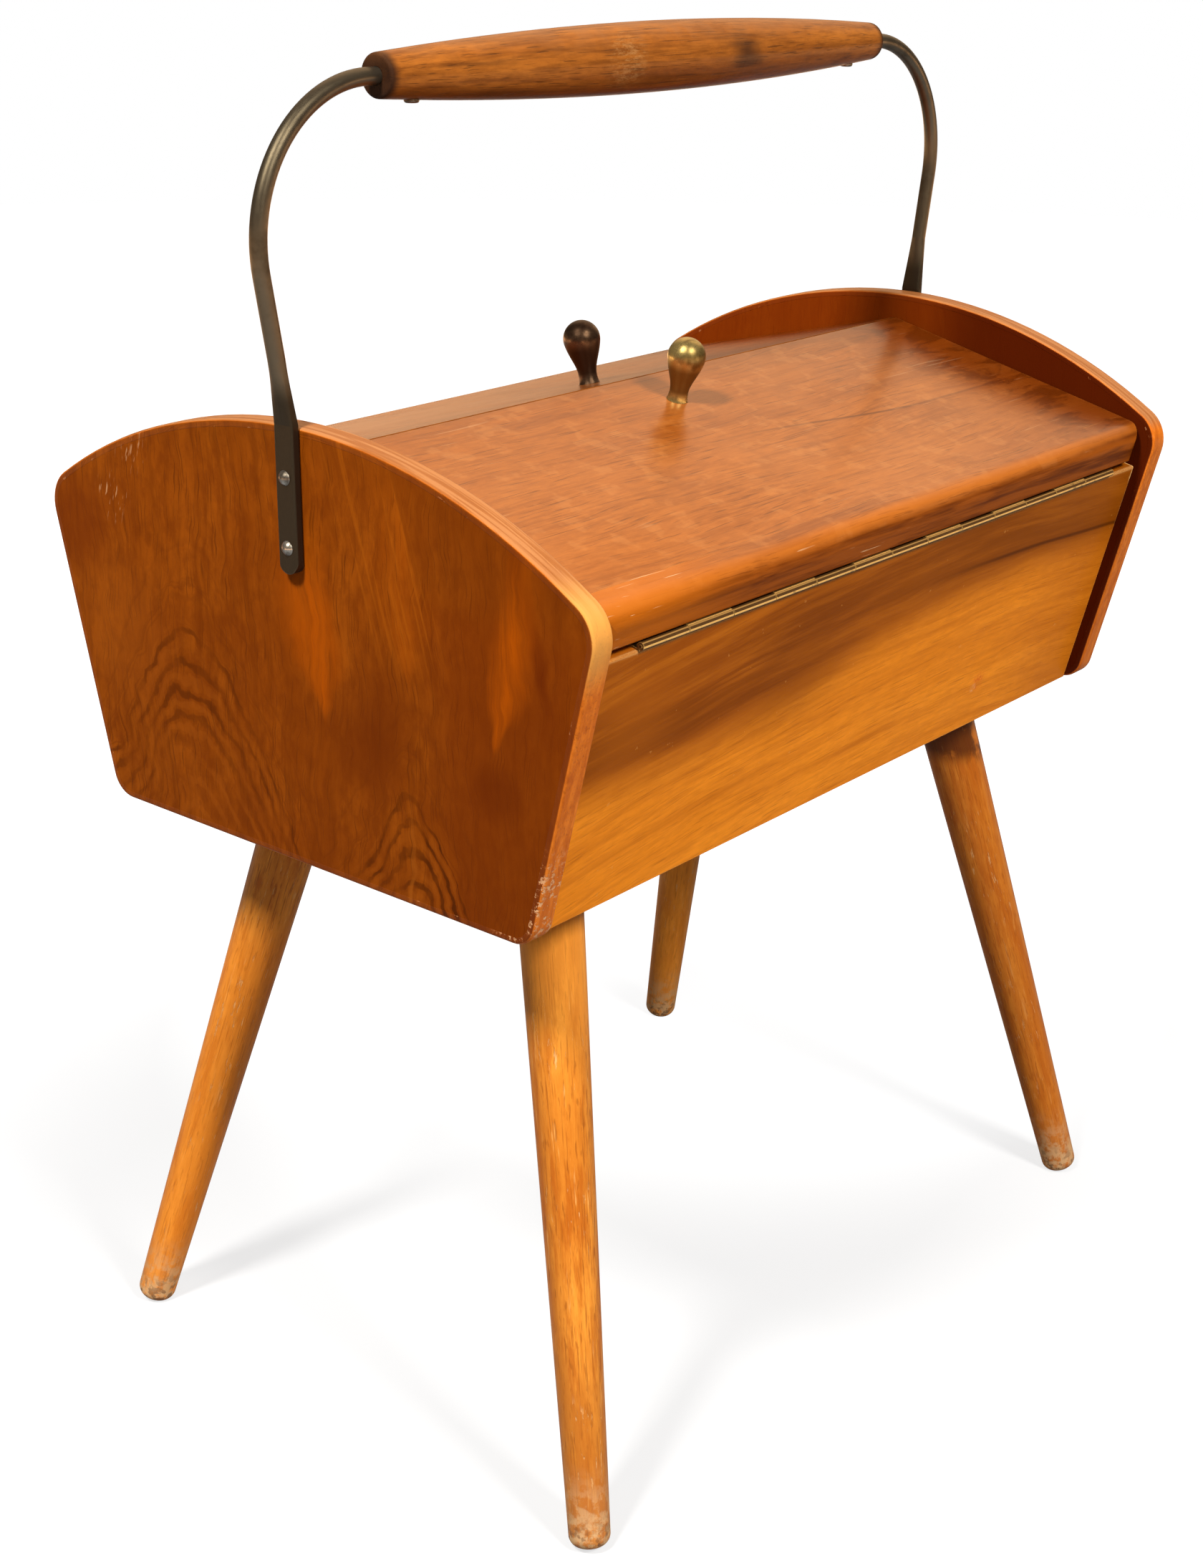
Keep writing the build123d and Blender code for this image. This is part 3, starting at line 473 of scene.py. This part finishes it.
def lid_wood(name, nose):
    """Orange-brown satin wood, grain along the ridge; a nose is darker and streaked on its edge."""
    net = finish(name)
    x, y, z = net.split(net.point)
    side = net.absolute(y)
    across = net.plus(side, net.centred(net.noise(net.scaled((1.0, 2.0, 1.0)), 6.0, 2.0), 0.020))
    color, height, broad = grain(net, z, across, x, LID_TONES, streak=24.0, fine=360.0, pore=0.65, seed=14.0)

    # A glue line, with a darker board outside it, then soft clouds; the right end is painted dark as the end
    # panel's reflection and shade, with dark curly grain
    strip = net.plus(side, net.span(x, -0.03, 0.11, 0.0135, 0.0))
    joint = net.times(net.line(net.minus(strip, 0.0743), 0.0002, 0.0012), net.span(x, -0.06, 0.06))
    color = net.tint(color, joint, 0.85, (0.095, 0.0200, 0.0020))
    outer = net.times(net.span(strip, 0.0738, 0.0748), net.span(x, 0.02, 0.13),
                      net.span(broad, 0.36, 0.62, 0.15, 0.60))
    color = net.mix(outer, color, (0.190, 0.0400, 0.0030))
    rosy = net.patches(net.moved((0.0, 6.0, 0.0)), 13.0, 4.0, 0.40, 0.64, rough=0.6)
    color = net.tint(color, rosy, 0.30, (0.350, 0.1050, 0.0200))
    blotch = net.patches(net.moved((3.0, 0.0, 0.0)), 40.0, 4.0, 0.56, 0.72)
    color = net.tint(color, blotch, 0.40, (0.185, 0.0430, 0.0050))
    bloom = net.patches(net.moved((9.0, 0.0, 0.0)), 90.0, 3.0, 0.54, 0.68)
    color = net.tint(color, bloom, 0.24, (0.440, 0.1550, 0.0360))
    # Painted reflection and shade: the right end, near the end panel, is made dark
    end_reflection_and_shade = net.span(net.plus(x, net.centred(broad, 0.05)), 0.118, 0.186)
    color = net.tint(color, end_reflection_and_shade, 0.80, (0.110, 0.0180, 0.0008))
    curly = net.noise(net.moved((0.0, 2.0, 5.0), net.scaled((0.35, 1.0, 1.0))), 85.0, 4.0, 0.65, 0.5)
    dark_end = net.times(net.span(x, 0.120, 0.180), net.span(curly, 0.46, 0.60))
    color = net.tint(color, dark_end, 0.75, (0.062, 0.0105, 0.0006))

    thin = net.stretched(z, across, x, 0.035)
    coat = 0.9
    if nose:
        rising = net.split(net.facing)[2]
        up = net.plus(net.times(outward(net), LID_NORMAL[0]), net.times(rising, LID_NORMAL[1]))
        streaks = net.noise(net.moved((0.0, 1.0, 0.0), thin), 170.0, 4.0, 0.7)
        face = net.mix(net.span(streaks, 0.40, 0.64), (0.250, 0.0560, 0.0040), (0.100, 0.0190, 0.0014))
        color = net.mix(net.span(up, 0.74, 0.40), color, face)
        coat = net.span(up, 0.50, 0.97, 0.0, 0.9)
        color = net.tint(color, net.span(x, -0.10, -0.17), 0.60, (0.440, 0.1050, 0.0040))
        # Painted highlight: the rounded arris, found by which way the surface faces, is made paler
        arris = net.times(net.span(up, 0.995, 0.93), net.span(up, 0.62, 0.80),
                          net.patches(thin, 60.0, 3.0, 0.34, 0.60, 0.45, 1.0))
        color = net.tint(color, arris, 0.60, (0.400, 0.1050, 0.0090))

    # Pale scratches along the grain and rubbed edges
    marks = net.times(net.patches(net.moved((9.0, 2.0, 0.0), thin), 620.0, 2.0, 0.665, 0.70),
                      net.patches(net.moved((2.0, 8.0, 0.0)), 20.0, 2.0, 0.52, 0.60), 0.8 if nose else 0.20)
    edge = net.times(net.edges(0.0012), net.patches(net.point, 80.0, 3.0, 0.40, 0.62, 0.1, 0.8))
    color = net.tint(color, edge, 0.35, (0.500, 0.1700, 0.0300))
    color = net.tint(color, marks, 0.75, (0.600, 0.3600, 0.1800))
    sheen = net.plus(net.patches(net.point, 18.0, 4.0, 0.3, 0.7, 0.30, 0.42), net.times(marks, 0.2))
    bump = net.normal(net.minus(height, marks), 0.00010, 0.45, bevel=0.0005)
    return net.surface(color, sheen, bump, coat=coat, coat_rough=0.24, specular=0.05)


def leg_wood():
    """Honey beech turned legs with flecks, dents and worn pale feet."""
    net = finish("leg_wood")
    x, y, z = net.split(net.point)

    # Every leg is folded onto the rear right one, to run the grain along its axis, and moved by its own seed
    axis = LEG_SPREAD.normalized()
    side_a = axis.cross(Vector((0.0, 0.0, 1.0))).normalized()
    side_b = axis.cross(side_a).normalized()
    local = net.vector("SUBTRACT", net.vector("ABSOLUTE", net.point), tuple(LEG_TOP))
    a, b, along = (net.vector("DOT_PRODUCT", local, tuple(v)) for v in (side_a, side_b, axis))
    a = net.plus(a, net.plus(net.times(net.sign(x), 1.3), net.times(net.sign(y), 2.9)))
    color, height = grain(net, a, b, along, LEG_TONES, streak=34.0, fine=380.0, pore=0.60, seed=17.0)[:2]

    def on_leg(ratio):
        return net.stretched(a, b, along, ratio)

    cloud = net.noise(on_leg(0.25), 30.0)
    color = net.mix(net.span(cloud, 0.42, 0.66, 0.0, 0.50), color, (0.430, 0.1080, 0.0070))
    reddish = net.patches(on_leg(0.14), 135.0, 5.0, 0.46, 0.64, 0.0, 0.70, rough=0.75)
    color = net.mix(reddish, color, (0.380, 0.0820, 0.0050))
    flecks = net.patches(on_leg(0.14), 800.0, 2.0, 0.58, 0.68)
    color = net.tint(color, flecks, 0.55, (0.240, 0.0560, 0.0050))
    rubs = net.patches(net.moved((5.0, 0.0, 0.0), on_leg(0.10)), 360.0, 3.0, 0.60, 0.70, 0.0, 0.35, rough=0.7)
    color = net.mix(rubs, color, (0.860, 0.4600, 0.1400))

    # Each leg has its own tone, with light and shade painted on: the rear legs painted lighter, the front
    # left painted palest at its top, the front right painted darker, with a stain and painted shade just
    # under the box
    left, front = net.span(x, 0.01, -0.01), net.span(y, 0.01, -0.01)
    right, rear = net.minus(1.0, left), net.minus(1.0, front)
    # Painted light: the rear left leg is made lighter below the shadow of the box
    rear_left_painted_light = net.times(left, rear, net.span(z, 0.215, 0.180, 0.0, 0.45))
    color = net.mix(rear_left_painted_light, color, (0.900, 0.2500, 0.0150))
    # Painted light: the rear right leg, which the box shades, is made lighter
    color = net.tint(color, net.times(right, rear), 0.45, (1.000, 0.3200, 0.0250))
    front_left = net.times(left, front)
    brown = net.times(front_left, net.span(z, 0.130, 0.050), net.span(cloud, 0.36, 0.60, 0.15, 0.55))
    color = net.mix(brown, color, (0.400, 0.1250, 0.0150))
    # Painted light: the front left leg is made pale at its top, where the box casts its shadow
    painted_light_top = net.times(front_left, net.span(z, 0.185, 0.230, 0.0, 0.45))
    color = net.mix(painted_light_top, color, (0.920, 0.3500, 0.0450))
    front_right = net.times(front, right)
    # Painted shade: the front right leg is made darker
    color = net.tint(color, front_right, 0.45, (0.420, 0.0930, 0.0040))
    # A stain just under the box on the front right leg, darkened further as painted shade from the box
    dark_underneath = net.times(front_right, net.span(z, 0.228, 0.238), net.span(z, 0.262, 0.250),
                      net.patches(net.point, 70.0, 4.0, 0.34, 0.46))
    color = net.tint(color, dark_underneath, 0.85, (0.060, 0.0120, 0.0020))

    # Feet worn pale and dirty, and nicks in busy places
    worn_foot = net.times(net.span(z, 0.004, 0.042, 1.0, 0.0),
                          net.patches(net.point, 210.0, 4.0, 0.40, 0.58, 0.15, 1.0, rough=0.65))
    color = net.tint(color, worn_foot, 0.75, (0.600, 0.3900, 0.1950))
    dirt = net.times(net.span(z, 0.0, 0.022, 1.0, 0.0),
                     net.patches(net.moved((1.0, 1.0, 4.0)), 280.0, 3.0, 0.50, 0.60))
    color = net.tint(color, dirt, 0.75, (0.110, 0.0450, 0.0200))
    nicks = net.patches(net.moved((6.0, 0.0, 0.0), on_leg(0.16)), 560.0, 4.0, 0.60, 0.66, rough=0.7)
    nicks = net.times(nicks, net.patches(net.join(a, b, along), 20.0, 2.0, 0.48, 0.60))
    color = net.tint(color, nicks, 0.55, (0.760, 0.4200, 0.1700))
    sheen = net.plus(0.30, net.times(net.larger(worn_foot, nicks), 0.3))
    dip = net.minus(height, net.times(net.plus(nicks, net.times(worn_foot, 0.6)), 2.0))
    return net.surface(color, sheen, net.normal(dip, 0.00016, 0.6), specular=0.14)


def inner_wood():
    """Bare pale wood of the bottom, blocks and rests."""
    net = finish("inner_wood")
    x, y, z = net.split(net.point)
    color, height = grain(net, z, y, x, INNER_TONES, streak=18.0, fine=240.0, pore=0.5, seed=21.0)[:2]
    dust = net.patches(net.point, 40.0, 4.0, 0.45, 0.75, 0.0, 0.35)
    color = net.mix(dust, color, (0.260, 0.1700, 0.1000))
    return net.surface(color, 0.62, net.normal(height, 0.00015, 0.6, bevel=0.0004), specular=0.15)


def grip_wood():
    """Brown turned grip with dark streaks, a knot, pale chips and darkened ends."""
    net = finish("grip_wood")
    x, y, z = net.split(net.point)
    color, height = grain(net, z, y, x, GRIP_TONES, streak=38.0, fine=420.0, pore=0.55, seed=25.0)[:2]
    place = net.stretched(y, z, x, 0.07)
    streak = net.patches(net.moved((0.0, 3.3, 0.0), place), 60.0, 4.0, 0.56, 0.70, rough=0.65)
    color = net.tint(color, streak, 0.6, (0.050, 0.0170, 0.0060))
    # Darker towards the underside of the grip
    dark_underneath = net.times(net.span(z, 0.560, 0.549), net.patches(place, 34.0, 3.0, 0.42, 0.60))
    color = net.tint(color, dark_underneath, 0.65, (0.055, 0.0190, 0.0070))
    gap = net.vector("DISTANCE", net.scaled((0.5, 1.0, 1.0)), (0.0235, -0.0125, 0.5620))
    knot = net.span(net.plus(gap, net.centred(net.noise(place, 160.0), 0.012)), 0.0020, 0.0095, 1.0, 0.0)
    color = net.mix(net.times(knot, net.span(streak, 0.0, 0.6, 0.85, 1.0)), color, (0.032, 0.0130, 0.0070))
    chips = net.times(net.near((-0.032, -0.0110, 0.5610), 0.0160, 0.8),
                      net.patches(net.stretched(y, z, x, 0.35), 620.0, 4.0, 0.42, 0.66, rough=0.8))
    color = net.tint(color, chips, 0.26, (0.620, 0.3400, 0.1200))
    ends = net.span(net.absolute(x), 0.1540, 0.1590)
    color = net.tint(color, ends, 0.94, (0.018, 0.0080, 0.0045))
    worn = net.times(net.span(z, 0.563, 0.573), net.patches(net.point, 50.0, 3.0, 0.38, 0.60, 0.10, 0.45))
    color = net.mix(worn, color, (0.230, 0.0860, 0.0260))
    sheen = net.plus(0.30, net.times(ends, 0.25))
    return net.surface(color, sheen, net.normal(height, 0.00014, 0.5, bevel=0.0004), specular=0.14)


# ---------------------------------------------------------------- metal finishes
def metal(name, bright, tarnish, rough, cover, scale=70.0, speckled=0.5, shaded=None, metallic=0.92):
    """Metal with cloudy tarnish, specks and rubbed edges; a shaded mask paints the tarnish tone on as painted
    shade and dark reflection. cover: 0 bright to 1 dark.
    """
    net = finish(name)
    cloud = net.noise(net.point, scale, 5.0, 0.65)
    tarnish_and_shade = net.span(cloud, 0.62 - 0.40 * cover, 0.86 - 0.40 * cover)
    if shaded:
        tarnish_and_shade = net.larger(tarnish_and_shade, shaded(net))
    color = net.mix(tarnish_and_shade, bright, tarnish)
    color = net.tint(color, net.edges(0.0008), 0.5, bright)
    specks = net.patches(net.point, 620.0, 3.0, 0.66, 0.74)
    color = net.tint(color, specks, speckled, (0.020, 0.013, 0.008))
    lines = net.patches(net.scaled((60.0, 900.0, 320.0)), 2.0, 3.0, 0.3, 0.7, rough, rough + 0.08)
    roughness = net.plus(lines, net.times(tarnish_and_shade, 0.12))
    height = net.minus(net.times(cloud, 2.0), specks)
    return net.surface(color, roughness, net.normal(height, 0.00003, 0.3, bevel=0.0003), metallic=metallic)


def beside_painted_highlights(net):
    """1 over a hinge barrel, which is painted dark as shade, except along two painted highlight lines above
    and below its middle, set by which way the surface faces.
    """
    out, rising = outward(net), net.split(net.facing)[2]
    upper = net.plus(net.times(out, 0.57), net.times(rising, 0.82))
    lower = net.plus(net.times(out, 0.98), net.times(rising, -0.17))
    return net.minus(1.0, net.larger(net.span(upper, 0.970, 0.993, 0.0, 0.42), net.span(lower, 0.940, 0.980)))


def knob_neck_painted_reflection(net):
    """1 on the knob's neck, which is painted dark as a dark reflection, 0 on its ball and on its foot."""
    y, z = net.split(net.point)[1:]
    rise = net.plus(z, net.times(net.absolute(y), 0.24))
    return net.times(net.span(rise, KNOB_FOOT + 0.0015, KNOB_FOOT + 0.0050),
                     net.span(rise, KNOB_FOOT + 0.0200, KNOB_FOOT + 0.0140))


def strap_painted_shade(net):
    """1 on the flattened lower end of a handle rod, which is painted dark as shade and dark reflection, 0 on
    its round part.
    """
    return net.span(net.split(net.point)[2], ROD_FLAT + 0.012, ROD_FLAT)


finishes = {
    "end_veneer": end_veneer(),
    "lipping_wood": lipping_wood(),
    "panel_wood": panel_wood(),
    "lid_wood": lid_wood("lid_wood", False),
    "nose_wood": lid_wood("nose_wood", True),
    "leg_wood": leg_wood(),
    "inner_wood": inner_wood(),
    "grip_wood": grip_wood(),
    "hinge_brass": metal("hinge_brass", (0.92, 0.52, 0.14), (0.085, 0.038, 0.010), 0.36, 0.20,
                         160.0, 0.4, beside_painted_highlights, 0.35),
    "knob_front_brass": metal("knob_front_brass", (0.66, 0.52, 0.20), (0.220, 0.155, 0.050), 0.24, 0.45,
                              shaded=knob_neck_painted_reflection),
    "knob_rear_brass": metal("knob_rear_brass", (0.20, 0.125, 0.078), (0.060, 0.034, 0.021), 0.21, 0.60,
                             shaded=knob_neck_painted_reflection),
    "rod_bronze": metal("rod_bronze", (0.170, 0.146, 0.104), (0.062, 0.052, 0.036), 0.32, 0.36,
                        25.0, 0.12, strap_painted_shade),
    "screw_steel": metal("screw_steel", (0.60, 0.58, 0.53), (0.100, 0.082, 0.062), 0.20, 0.60, speckled=0.3),
}
for part in frame["record"]["subparts"]:
    mesh = nodes[part["node"]].data
    mesh.materials.clear()
    mesh.materials.append(finishes[part["material_slot"]])


# ---------------------------------------------------------------- studio
def floor_paper():
    """Paper that glows for the camera, less in the open near the object, and warmly for gloss far out."""
    net = finish("floor_paper")
    fibre = net.patches(net.point, 3.0, 4.0, 0.3, 0.7)
    shade = net.result("ShaderNodeBsdfDiffuse", [net.mix(fibre, (0.21, 0.21, 0.21), (0.23, 0.23, 0.23))])
    ray = net.add("ShaderNodeLightPath").outputs
    away = net.vector("LENGTH", net.point)
    beside = net.vector("DISTANCE", net.point, (0.3, 0.2, 0.0))
    lit = net.larger(net.span(away, 0.25, 0.60, FLOOR_GLOW, 1.0),
                   net.span(beside, 0.25, 0.40, SHADED_GLOW, FLOOR_GLOW))
    lit = net.times(ray["Is Camera Ray"], lit)
    mirrored = net.times(ray["Is Glossy Ray"], net.span(away, 1.2, 3.0, 0.0, 2.7))
    color = net.mix(ray["Is Glossy Ray"], WHITE, (1.0, 0.56, 0.28))
    glow = net.result("ShaderNodeEmission", (color, net.plus(lit, mirrored)))
    return net.shown(net.result("ShaderNodeAddShader", (shade, glow)), "ShaderNodeOutputMaterial")


bpy.ops.mesh.primitive_circle_add(vertices=96, radius=4.0, fill_type="NGON", location=(0.0, 0.0, -0.0002))
floor = bpy.context.object
floor.name = "floor"
floor.data.materials.append(floor_paper())


def softbox(name, place, target, size, power, color=WHITE):
    """A square area light at a place, turned to a target and unseen in gloss."""
    data = bpy.data.lights.new(name, "AREA")
    data.shape = "SQUARE"
    data.size = size
    data.energy = power
    data.color = color
    lamp = bpy.data.objects.new(name, data)
    bpy.context.collection.objects.link(lamp)
    lamp.location = place
    lamp.rotation_euler = (Vector(target) - Vector(place)).to_track_quat("-Z", "Y").to_euler()
    lamp.visible_glossy = False
    return lamp


softbox("key", (-0.30, -1.45, 1.52), (0.0, 0.0, 0.33), 0.38, 40.0, DAYLIGHT)
softbox("side", (-1.25, -0.10, 1.86), (-0.18, 0.05, 0.30), 0.30, 50.0, DAYLIGHT)
fill = softbox("fill", (1.05, 1.45, 0.42), (0.0, 0.0, 0.33), 1.20, 16.0)
fill.data.use_shadow = False


def studio():
    """White for the camera, soft bright patches for gloss and a dim even room for all else."""
    net = Net(bpy.data.worlds.new("studio"))

    def backdrop(color, strength):
        return net.result("ShaderNodeBackground", (shader_value(color), strength))

    gloss = None
    for direction, start, full, low, high, color in REFLECTED:
        towards = net.vector("DOT_PRODUCT", net.heading, tuple(Vector(direction).normalized()))
        patch = backdrop(color, net.span(towards, start, full, low, high))
        gloss = net.result("ShaderNodeAddShader", (gloss, patch)) if gloss else patch
    ray = net.add("ShaderNodeLightPath").outputs
    around = net.result("ShaderNodeMixShader", (ray["Is Glossy Ray"], backdrop(WHITE, ROOM_LIGHT), gloss))
    seen = net.result("ShaderNodeMixShader", (ray["Is Camera Ray"], around, backdrop(WHITE, 1.0)))
    return net.shown(seen, "ShaderNodeOutputWorld")


scene = bpy.context.scene
scene.world = studio()
scene.view_settings.view_transform = "Standard"

# ---------------------------------------------------------------- camera
back = Vector((math.sin(AZIMUTH) * math.cos(ELEVATION), -math.cos(AZIMUTH) * math.cos(ELEVATION),
               math.sin(ELEVATION)))
level = Vector((math.cos(AZIMUTH), math.sin(AZIMUTH), 0.0))
right = level * math.cos(ROLL) + back.cross(level) * math.sin(ROLL)
up = back.cross(right)
camera_data = bpy.data.cameras.new("camera")
camera_data.sensor_fit = "VERTICAL"
camera_data.sensor_height = FRAME_HEIGHT
camera_data.lens = LENS
camera_data.shift_x, camera_data.shift_y = SHIFT
camera = bpy.data.objects.new("camera", camera_data)
bpy.context.collection.objects.link(camera)
camera.matrix_world = Matrix.Translation(CAMERA_PLACE) @ Matrix((right, up, back)).transposed().to_4x4()
scene.camera = camera
